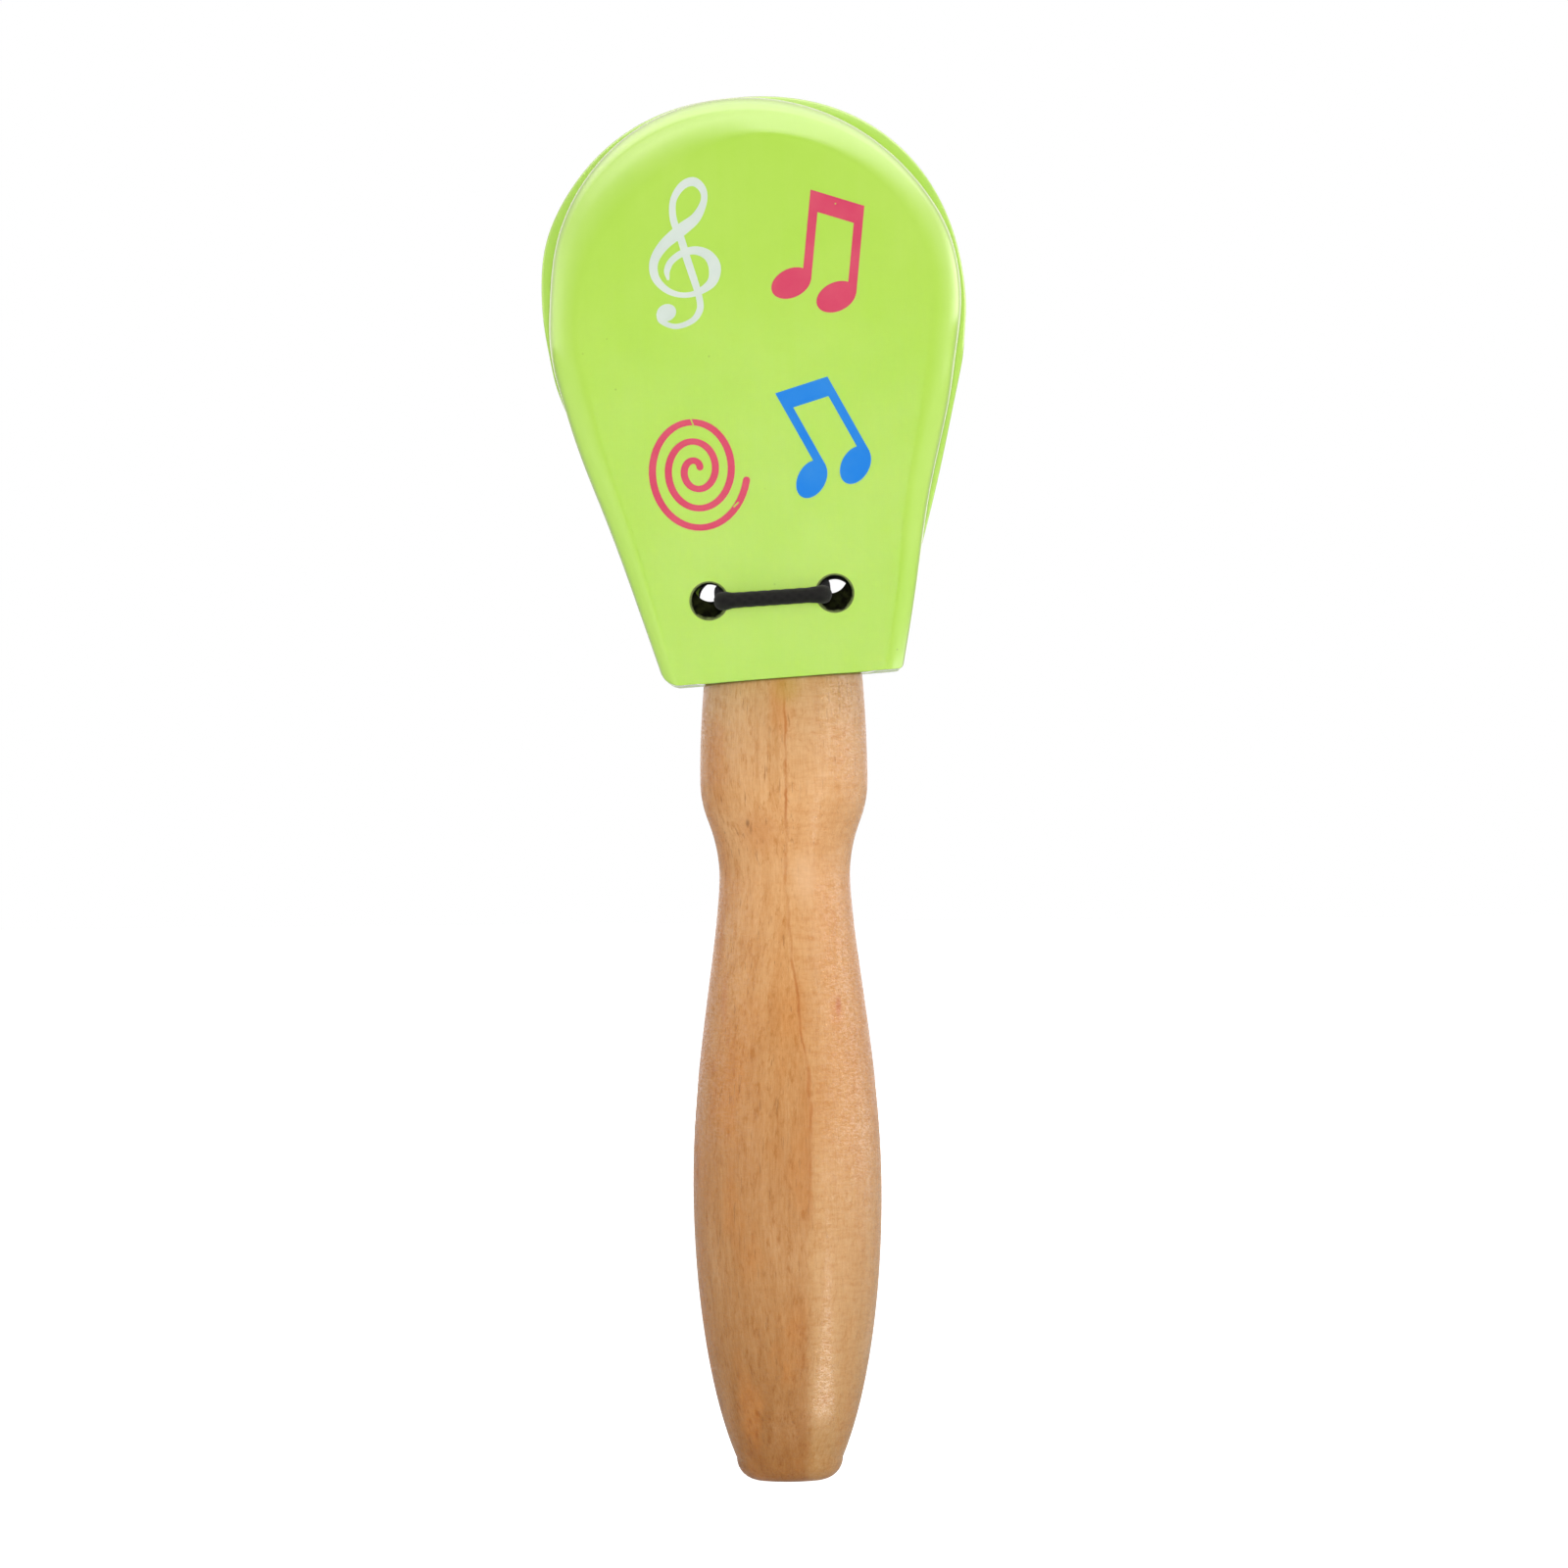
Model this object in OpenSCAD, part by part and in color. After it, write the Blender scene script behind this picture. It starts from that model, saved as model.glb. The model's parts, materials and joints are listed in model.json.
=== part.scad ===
// Handle castanet: a turned handle carries a paddle, and two hollowed clappers are
// tied to the paddle's faces by one knotted loop of elastic cord.
// Millimetres. +Z runs up the handle, the printed clapper faces -Y, and the origin
// is on the handle's axis where the grip is thickest.

/* [Handle] */
// Length of the handle from its butt to the shoulder under the paddle
handle_len = 106; // [98:0.1:125]
// Height of the grip's thickest point above the butt
grip_h = 38.9; // [30:0.1:50]
// Diameter of the grip at its thickest point
grip_d = 25; // [22:0.1:32]
// Diameter of the butt where its edge starts to round
butt_d = 14.1; // [8:0.1:18]
// Radius of the rounded edge of the butt
butt_r = 3; // [0.5:0.1:3.5]
// Height of the neck above the butt
neck_h = 80; // [65:0.1:85]
// Diameter of the neck
neck_d = 17.3; // [14:0.1:20]
// Height of the barrel's thickest point above the butt
barrel_h = 92.6; // [89:0.1:96]
// Diameter of the barrel at its thickest point
barrel_d = 22.2; // [20.5:0.1:28]
// Diameter of the barrel at the shoulder
shoulder_d = 21; // [18:0.1:24]
// Radius of the rounded edge of the shoulder
shoulder_r = 0.5; // [0.3:0.1:2]
// Diameter of the spigot that is glued into the paddle
spigot_d = 7; // [6:0.1:8]
// Length of the spigot above the shoulder
spigot_len = 18; // [10:0.1:30]

/* [Paddle] */
// Lean of the head to the left of the handle's axis, in degrees
head_lean = 3.9; // [0:0.1:5]
// Thickness of the paddle
paddle_t = 12; // [11:0.1:16]
// Width of the paddle at its widest
paddle_w = 55.9; // [50:0.1:64]
// Height of the paddle's widest line above the shoulder
paddle_wide_h = 48.2; // [45:0.1:55]
// Height of the paddle's crown above the shoulder
paddle_len = 77.1; // [72:0.1:86]
// Width of the paddle's foot
paddle_foot_w = 30.4; // [26:0.1:36]
// Shift of the paddle's crown to the left, from shaping by hand
paddle_skew = 0.1; // [0:0.1:3]
// Fullness of the paddle's crown: 1 gives an oval, and less gives it fuller shoulders
paddle_fullness = 0.9; // [0.8:0.01:1]
// Radius of the paddle's rounded edges
paddle_edge = 0.5; // [0.5:0.1:4]
// Glue gap around and above the spigot
glue_gap = 0.1; // [0.05:0.01:0.3]

/* [Clappers] */
// Thickness of a clapper
clapper_t = 9; // [7:0.1:12]
// Width of a clapper at its widest
clapper_w = 54.4; // [48:0.1:60]
// Height of a clapper's widest line above its foot
clapper_wide_h = 47.6; // [44:0.1:54]
// Height of a clapper's crown above its foot
clapper_len = 76; // [70:0.1:84]
// Width of a clapper's foot
clapper_foot_w = 32; // [26:0.1:36]
// Shift of a clapper's crown to the left, from shaping by hand
clapper_skew = 1.2; // [0:0.1:3]
// Fullness of a clapper's crown: 1 gives an oval, and less gives it fuller shoulders
clapper_fullness = 0.98; // [0.8:0.01:1]
// Width of the rounded border round the flat outer face
border_w = 4.4; // [2:0.1:6]
// Depth of the rounded border
border_h = 5.2; // [2:0.1:5.5]
// Diameter of the hollow in the inner face
hollow_d = 34; // [20:0.1:40]
// Depth of the hollow
hollow_depth = 3; // [1:0.1:3.6]
// Radius of the foot's corners, on the clappers and on the paddle
foot_r = 1.6; // [0.8:0.1:3]
// Gap between a closed clapper and the paddle
face_gap = 0.2; // [0.1:0.05:0.5]
// Gap between a clapper's foot and the handle's shoulder
heel_gap = 0.4; // [0.3:0.05:0.8]

/* [Elastic cord] */
// Diameter of the elastic cord
cord_d = 2; // [1.5:0.1:2.6]
// Diameter of the cord's holes in the three boards
cord_hole_d = 4.8; // [4:0.1:5.4]
// Distance between the two holes
cord_hole_pitch = 16.7; // [15.5:0.1:20]
// Height of the holes above the shoulder
cord_h = 10.8; // [9:0.1:14]
// Shift of the holes and the cord to the left of the head's middle
cord_shift = 0.5; // [0:0.1:0.8]
// Gap between the cord and the wood that it passes
cord_gap = 0.15; // [0.1:0.01:0.25]
// Radius of the cord's turn into a hole, at its middle line
cord_bend = 1.4; // [1.2:0.1:2]
// Diameter of the knot on the back
knot_d = 4.2; // [3:0.1:5]
// Length of the cord's ends past the knot
tail_len = 6; // [3:0.1:10]

/* [Hidden] */
$fn = 96;
wood_colour = "BurlyWood";
paint_colour = "YellowGreen";
cord_colour = "DimGray";
paddle_size = [paddle_w, paddle_wide_h, paddle_len, paddle_foot_w, paddle_skew, paddle_fullness];
clapper_size =
    [clapper_w, clapper_wide_h, clapper_len, clapper_foot_w, clapper_skew, clapper_fullness];
shoulder_z = handle_len - grip_h;
inner_y = paddle_t / 2 + face_gap;
outer_y = inner_y + clapper_t;
// The clapper rocks on a round heel whose axis lies over the front of the shoulder
heel_r = shoulder_d / 2 - inner_y;
heel_z = heel_gap + heel_r;
// Small overshoot of a cut past the face that it opens
cut = 1;
// Least radius that a drawn-in foot corner keeps
least_r = 0.1;
// Narrow edge break on the clapper's inner rim
rim_ease = 0.4;
border_steps = 5;
edge_steps = 4;
crown_steps = 48;
turn_steps = 60;
cord_sides = 8;
bend_steps = 5;
// Share of the slope from barrel to neck that bulges outwards
ogee_bulge = 0.42;
// Below 1, the slope from neck to grip is steepest near the neck
neck_bias = 0.8;
// Length of the slope from the barrel down to the neck
ogee_len = barrel_h - neck_h;
// Half length of the ellipse that the lower grip follows
grip_ellipse = (grip_h - butt_r) / sqrt(1 - pow(butt_d / grip_d, 2));
hollow_ball_r = (pow(hollow_d / 2, 2) + pow(hollow_depth, 2)) / (2 * hollow_depth);
// The cord lies against the inner walls of its holes and on the clappers' faces
leg_x = cord_hole_pitch / 2 - cord_hole_d / 2 + cord_d / 2 + cord_gap;
run_y = outer_y + cord_d / 2 + cord_gap;
tail_splay = 38;

function ease(t) = t * t * (3 - 2 * t);
function ogee(t, bulge) =
    t < bulge ? t * t / bulge : 1 - pow(1 - t, 2) / (1 - bulge);
function mix(a, b, t) = a + (b - a) * t;

// Radius of the turned handle at height h above the butt
function butt_edge(h) = butt_d / 2 - butt_r + sqrt(pow(butt_r, 2) - pow(butt_r - h, 2));
function lower_grip(h) = grip_d / 2 * sqrt(1 - pow((grip_h - h) / grip_ellipse, 2));
function upper_grip(h) =
    mix(neck_d, grip_d, ease(pow((neck_h - h) / (neck_h - grip_h), neck_bias))) / 2;
function neck_slope(h) = mix(barrel_d, neck_d, ogee((barrel_h - h) / ogee_len, ogee_bulge)) / 2;
function barrel(h) =
    mix(barrel_d, shoulder_d, pow((h - barrel_h) / (handle_len - barrel_h), 2)) / 2;
function turned_r(h) =
    h < butt_r ? butt_edge(h) :
    h < grip_h ? lower_grip(h) :
    h < neck_h ? upper_grip(h) :
    h < barrel_h ? neck_slope(h) : barrel(h);

// Depths and insets of the slices that round a board's edge over width w and depth d
function rounding(face, w, d, steps) =
    [for (i = [0:steps]) [face - d + d * sin(90 * i / steps), w * (1 - cos(90 * i / steps))]];

// Frame of the head, which leans on the shoulder
module head() {
    translate([0, 0, shoulder_z])
        rotate([0, -head_lean, 0])
            children();
}

// Outline of a board, drawn in by inset: an oval crown above its widest line, round
// flanks and straight sides below, and a foot whose lower edge stays at zero height.
// A board is [width, height of its widest line, height, width of its foot, skew, fullness].
function arc(centre, r, from, to, steps) =
    [for (i = [0:steps]) let (a = mix(from, to, i / steps)) centre + r * [cos(a), sin(a)]];
function outline(size, inset) =
    let (
        r = size[0] / 2 - inset,
        middle = [0, size[1]],
        crown = size[2] - size[1] - inset,
        corner = max(foot_r - inset, least_r),
        foot = [size[3] / 2 - inset - corner, corner],
        rise = middle - foot,
        side = atan2(rise[1], rise[0]) - acos((corner - r) / norm(rise)),
        upper = [
            for (i = [1:crown_steps - 1])
                let (
                    a = 180 * i / crown_steps,
                    across = sign(cos(a)) * pow(abs(cos(a)), size[5])
                )
                    middle + [r * across - size[4] * pow(sin(a), 2), crown * pow(sin(a), size[5])]
        ]
    )
        concat(
            arc(middle, r, side, 0, edge_steps),
            upper,
            arc(middle, r, 180, 180 - side, edge_steps),
            arc([-foot[0], foot[1]], corner, 180 - side, 270, edge_steps),
            arc(foot, corner, 270, 360 + side, edge_steps)
        );

// A board blended through slices, each a depth and an inset, that follow each other in depth
module board(size, slices) {
    rings = [for (s = slices) outline(size, s[1])];
    count = len(rings[0]);
    last = len(slices) - 1;
    points = [for (k = [0:last], p = rings[k]) [p[0], -slices[k][0], p[1]]];
    sides = [
        for (k = [0:last - 1], i = [0:count - 1])
            let (j = (i + 1) % count, a = k * count, b = a + count)
                [a + i, a + j, b + j, b + i]
    ];
    inner = [for (i = [0:count - 1]) count - 1 - i];
    outer = [for (i = [0:count - 1]) last * count + i];
    polyhedron(points, concat(sides, [inner, outer]), convexity = 2);
}

module cord_holes() {
    for (side = [-1, 1])
        translate([side * cord_hole_pitch / 2 - cord_shift, outer_y + cut, cord_h])
            rotate([90, 0, 0])
                cylinder(h = 2 * (outer_y + cut), d = cord_hole_d);
}

// Waste outside the round heel at the clapper's inner lower edge
module heel_waste() {
    difference() {
        translate([-clapper_foot_w, -inner_y - heel_r, heel_gap - cut])
            cube([2 * clapper_foot_w, heel_r + cut, heel_r + cut]);
        translate([-clapper_foot_w, -inner_y - heel_r, heel_z])
            rotate([0, 90, 0])
                cylinder(h = 2 * clapper_foot_w, r = heel_r);
    }
}

module clapper() {
    rim = [[0, rim_ease], [rim_ease, 0]];
    difference() {
        translate([0, -inner_y, heel_gap])
            board(clapper_size, concat(rim, rounding(clapper_t, border_w, border_h, border_steps)));
        heel_waste();
        cord_holes();
        translate([0, hollow_ball_r - hollow_depth - inner_y, heel_gap + clapper_wide_h])
            sphere(r = hollow_ball_r);
    }
}

// The shoulder's face and round edge, square to the head and clear of the handle below
module shoulder_cap() {
    edge = arc([shoulder_d / 2 - shoulder_r, -shoulder_r], shoulder_r, 90, 0, edge_steps);
    rotate_extrude()
        polygon(concat([[0, 0]], edge, [[handle_len, -handle_len], [0, -2 * handle_len]]));
}

module handle() {
    top = handle_len + shoulder_d / 2 * tan(head_lean) + cut;
    heights = concat(
        [for (i = [0:edge_steps - 1]) butt_r * (1 - cos(90 * i / edge_steps))],
        [for (i = [0:turn_steps]) mix(butt_r, top, i / turn_steps)]
    );
    side = [for (h = heights) [turned_r(h), h - grip_h]];
    color(wood_colour) {
        intersection() {
            rotate_extrude()
                polygon(concat([[0, -grip_h]], side, [[0, top - grip_h]]));
            head()
                shoulder_cap();
        }
        translate([0, 0, shoulder_z - shoulder_r])
            cylinder(h = shoulder_r + spigot_len, d = spigot_d);
    }
}

module paddle() {
    front = rounding(paddle_t / 2, paddle_edge, paddle_edge, edge_steps);
    back = [for (i = [edge_steps:-1:0]) [-front[i][0], front[i][1]]];
    color(paint_colour)
        difference() {
            head()
                difference() {
                    board(paddle_size, concat(back, front));
                    cord_holes();
                }
            translate([0, 0, shoulder_z - cut])
                cylinder(h = cut + spigot_len + glue_gap, d = spigot_d + 2 * glue_gap);
        }
}

module front_clapper() {
    color(paint_colour)
        head()
            clapper();
}

module rear_clapper() {
    color(paint_colour)
        head()
            mirror([0, 1, 0])
                clapper();
}

// Closed loop of the cord in the plane of the holes: four runs with rounded corners
function loop_corner(k) =
    let (sx = k == 0 || k == 3 ? 1 : -1, sy = k < 2 ? 1 : -1)
        [sx * (leg_x - cord_bend), sy * (run_y - cord_bend)];
function loop_rings() = [
    for (k = [0:3], i = [0:bend_steps])
        let (a = 90 * (k + i / bend_steps))
            [loop_corner(k) + cord_bend * [cos(a), sin(a)], a]
];

module cord_loop() {
    rings = loop_rings();
    count = len(rings);
    points = [
        for (ring = rings, j = [0:cord_sides - 1])
            let (b = 360 * j / cord_sides, out = cord_d / 2 * cos(b))
                [
                    ring[0][0] + out * cos(ring[1]),
                    ring[0][1] + out * sin(ring[1]),
                    cord_d / 2 * sin(b)
                ]
    ];
    faces = [
        for (i = [0:count - 1], j = [0:cord_sides - 1], half = [0, 1])
            let (
                n = (i + 1) % count,
                m = (j + 1) % cord_sides,
                p = i * cord_sides + j,
                q = n * cord_sides + j,
                r = n * cord_sides + m,
                s = i * cord_sides + m
            )
                half == 0 ? [p, r, q] : [p, s, r]
    ];
    polyhedron(points, faces);
}

module knot() {
    translate([0, outer_y + cord_gap + knot_d / 2, 0]) {
        sphere(d = knot_d);
        for (side = [-1, 1])
            rotate([0, side * tail_splay, 0])
                translate([0, 0, -knot_d / 2 - tail_len])
                    cylinder(h = knot_d / 2 + tail_len, d = cord_d);
    }
}

module elastic_cord() {
    color(cord_colour)
        head()
            translate([-cord_shift, 0, cord_h]) {
                cord_loop();
                knot();
            }
}

handle();
paddle();
front_clapper();
rear_clapper();
elastic_cord();
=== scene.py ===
# Handle castanet: turned wooden handle, green paddle and clappers, printed figures, black elastic cord
import json
import math

import bmesh
import bpy
from mathutils import Matrix, Vector
from mathutils.geometry import delaunay_2d_cdt


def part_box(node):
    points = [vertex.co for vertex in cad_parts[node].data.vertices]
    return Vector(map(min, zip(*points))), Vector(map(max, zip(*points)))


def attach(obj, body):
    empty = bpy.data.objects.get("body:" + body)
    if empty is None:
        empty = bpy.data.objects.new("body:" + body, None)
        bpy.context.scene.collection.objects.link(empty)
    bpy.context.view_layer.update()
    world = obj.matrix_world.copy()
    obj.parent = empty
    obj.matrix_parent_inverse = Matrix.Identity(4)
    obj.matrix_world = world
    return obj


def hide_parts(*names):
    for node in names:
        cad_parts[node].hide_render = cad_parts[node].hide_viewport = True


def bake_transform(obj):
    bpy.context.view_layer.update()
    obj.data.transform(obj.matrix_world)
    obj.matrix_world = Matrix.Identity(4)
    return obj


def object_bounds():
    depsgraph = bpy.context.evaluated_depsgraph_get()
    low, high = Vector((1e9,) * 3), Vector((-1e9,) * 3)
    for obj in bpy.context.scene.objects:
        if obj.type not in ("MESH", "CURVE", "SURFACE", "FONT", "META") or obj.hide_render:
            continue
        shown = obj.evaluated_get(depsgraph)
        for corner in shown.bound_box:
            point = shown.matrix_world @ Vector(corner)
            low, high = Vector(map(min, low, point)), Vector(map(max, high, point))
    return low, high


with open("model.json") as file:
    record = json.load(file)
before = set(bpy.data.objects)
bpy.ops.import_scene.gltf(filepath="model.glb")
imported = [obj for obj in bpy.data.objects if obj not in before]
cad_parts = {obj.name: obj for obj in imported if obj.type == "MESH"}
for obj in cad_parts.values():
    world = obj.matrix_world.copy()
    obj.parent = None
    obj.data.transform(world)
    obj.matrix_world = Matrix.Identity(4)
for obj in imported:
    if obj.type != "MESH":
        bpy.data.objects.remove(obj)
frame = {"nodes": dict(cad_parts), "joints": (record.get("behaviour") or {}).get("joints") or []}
cadBox = [list(corner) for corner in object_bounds()]
print("frame loaded with", len(frame["nodes"]), "nodes")

# shapes are drawn in millimetres and scaled when they are placed
mm = 0.001
toMetres = Matrix.Scale(mm, 4)

# the head stands on the shoulder and leans with the clappers' hinge axis
spigot = dict(length=18, diameter=7, chamfer=0.5)
flapAxis = Vector(frame["joints"][0]["axis"])
headLean = math.atan2(flapAxis.z, flapAxis.x)
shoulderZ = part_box("handle")[1].z / mm - spigot["length"]
headPlace = Matrix.Translation((0, 0, shoulderZ)) @ Matrix.Rotation(-headLean, 4, "Y")


def mix(a, b, t):
    return a + (b - a) * t


def ease(t):
    return t * t * (3 - 2 * t)


def paintColour(red, green, blue):
    # screen colour, 0 to 255, as the linear colour that a shader takes
    def linear(c):
        c = c / 255
        return c / 12.92 if c <= 0.04045 else ((c + 0.055) / 1.055) ** 2.4
    return (linear(red), linear(green), linear(blue), 1)


# materials

class NodeDesk:
    # a node tree with short ways to add nodes and wires
    def __init__(self, tree):
        self.tree = tree
        self.column = 0

    def plug(self, socket, value):
        # a wire from another node, or a plain value
        if isinstance(value, bpy.types.NodeSocket):
            self.tree.links.new(value, socket)
        else:
            socket.default_value = value

    def feed(self, node, **values):
        # sockets by name, with _ for a space
        for key, value in values.items():
            self.plug(node.inputs[key.replace("_", " ")], value)

    def add(self, kind, inputs=None, **settings):
        node = self.tree.nodes.new(kind)
        self.column += 1
        node.location = (180 * self.column, -90 * (self.column % 5))
        for key, value in settings.items():
            setattr(node, key, value)
        for key, value in (inputs or {}).items():
            self.plug(node.inputs[key], value)
        return node

    def millimetres(self, scale=(1, 1, 1)):
        place = self.add("ShaderNodeTexCoord").outputs["Object"]
        size = [s / mm for s in scale]
        return self.add("ShaderNodeMapping", {"Vector": place, "Scale": size}).outputs["Vector"]

    def axes(self, vector):
        return self.add("ShaderNodeSeparateXYZ", {"Vector": vector}).outputs

    def noise(self, vector, scale, detail=3, rough=0.5):
        node = self.add("ShaderNodeTexNoise", {
            "Vector": vector, "Scale": scale, "Detail": detail, "Roughness": rough})
        return node.outputs["Fac"]

    def spread(self, value, low, high, toLow=0.0, toHigh=1.0, curve="LINEAR"):
        node = self.add("ShaderNodeMapRange", {
            "Value": value, "From Min": low, "From Max": high, "To Min": toLow, "To Max": toHigh},
            interpolation_type=curve)
        return node.outputs["Result"]

    def spot(self, place, centre, size, strength):
        # 1 at the centre, fading to nothing at the given half sizes
        away = self.add("ShaderNodeVectorMath", {0: place, 1: centre}, operation="SUBTRACT").outputs[0]
        scaled = self.add("ShaderNodeVectorMath", {0: away, 1: size}, operation="DIVIDE").outputs[0]
        length = self.add("ShaderNodeVectorMath", {0: scaled}, operation="LENGTH").outputs["Value"]
        full = 0.15
        return self.spread(length, full, 1, strength, 0, "SMOOTHSTEP")

    def ramp(self, value, stops):
        # colours at given values, blended in between
        first, last = stops[0][0], stops[-1][0]
        node = self.add("ShaderNodeValToRGB", {"Fac": self.spread(value, first, last)})
        points = node.color_ramp.elements
        for at, colour in stops[1:-1]:
            points.new((at - first) / (last - first))
        for point, (at, colour) in zip(points, stops):
            point.color = colour
        return node.outputs["Color"]

    def maths(self, operation, a, b=0.0, c=0.0):
        node = self.add("ShaderNodeMath", {0: a, 1: b, 2: c}, operation=operation)
        return node.outputs["Value"]

    def blend(self, share, a, b, mode="MIX"):
        # the colour sockets of a Mix node are its seventh and eighth
        node = self.add("ShaderNodeMix", {"Factor": share, 6: a, 7: b}, data_type="RGBA", blend_type=mode)
        return node.outputs[2]

    def group(self, tree, **values):
        node = self.add("ShaderNodeGroup", node_tree=tree)
        self.feed(node, **values)
        return node.outputs

    def bump(self, height, depth, strength=1.0, normal=None):
        inputs = {"Height": height, "Distance": depth * mm, "Strength": strength}
        if normal:
            inputs["Normal"] = normal
        return self.add("ShaderNodeBump", inputs).outputs["Normal"]


def startMaterial(name):
    material = bpy.data.materials.new(name)
    material.use_nodes = True
    material.node_tree.nodes.clear()
    desk = NodeDesk(material.node_tree)
    output = desk.add("ShaderNodeOutputMaterial")
    shader = desk.add("ShaderNodeBsdfPrincipled")
    desk.tree.links.new(shader.outputs["BSDF"], output.inputs["Surface"])
    return material, desk, shader


def startGroup(name, inputs, outputs):
    tree = bpy.data.node_groups.new(name, "ShaderNodeTree")
    for socket, kind, start in inputs:
        made = tree.interface.new_socket(socket, in_out="INPUT", socket_type=kind)
        if start is not None:
            made.default_value = start
    for socket, kind in outputs:
        tree.interface.new_socket(socket, in_out="OUTPUT", socket_type=kind)
    desk = NodeDesk(tree)
    return tree, desk, desk.add("NodeGroupInput"), desk.add("NodeGroupOutput")


def woodFibreGroup():
    # long streaks, fine fibres and short pores along Z, for bare wood and under paint
    tree, desk, given, made = startGroup(
        "woodFibre",
        [("Place", "NodeSocketVector", None), ("Drift", "NodeSocketFloat", 0.8)],
        [(name, "NodeSocketFloat") for name in ("Streak", "Fleck", "Fibre", "Pore")],
    )
    place = given.outputs["Place"]
    wander = desk.add("ShaderNodeTexNoise", {"Vector": place, "Scale": 0.035, "Detail": 1.0})
    shift = desk.add("ShaderNodeVectorMath", {0: wander.outputs["Color"], 1: (0.5, 0.5, 0.5)},
                     operation="SUBTRACT").outputs[0]
    scaled = desk.add("ShaderNodeVectorMath", {0: shift, "Scale": given.outputs["Drift"]},
                      operation="SCALE").outputs[0]
    moved = desk.add("ShaderNodeVectorMath", {0: place, 1: scaled}, operation="ADD").outputs[0]

    def along(scale):
        return desk.add("ShaderNodeMapping", {"Vector": moved, "Scale": scale}).outputs["Vector"]

    streak = desk.noise(along((1, 1, 0.06)), 0.8, 5, 0.62)
    fleck = desk.noise(along((1, 1, 0.32)), 1.4, 5, 0.7)
    fibre = desk.noise(along((1, 1, 0.13)), 4.6, 4, 0.6)
    dash = desk.noise(along((1, 1, 0.09)), 2.6, 2, 0.55)
    desk.feed(made, Streak=streak, Fleck=fleck, Fibre=fibre, Pore=desk.spread(dash, 0.64, 0.72))
    return tree


def mottleGroup():
    # soft clouds and rare specks, for paint, ink and lacquer
    tree, desk, given, made = startGroup(
        "mottle",
        [("Place", "NodeSocketVector", None), ("Cloud Size", "NodeSocketFloat", 0.06)],
        [("Cloud", "NodeSocketFloat"), ("Speck", "NodeSocketFloat"), ("Peel", "NodeSocketFloat")],
    )
    place = given.outputs["Place"]
    cloud = desk.noise(place, given.outputs["Cloud Size"], 3, 0.55)
    dots = desk.add("ShaderNodeTexVoronoi", {"Vector": place, "Scale": 0.16}, feature="F1")
    dotSize = desk.spread(dots.outputs["Distance"], 0.012, 0.03, 1, 0)
    desk.feed(made, Cloud=cloud, Speck=dotSize, Peel=desk.noise(place, 1.6, 2, 0.5))
    return tree


fibreGroup = woodFibreGroup()
cloudGroup = mottleGroup()


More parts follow.
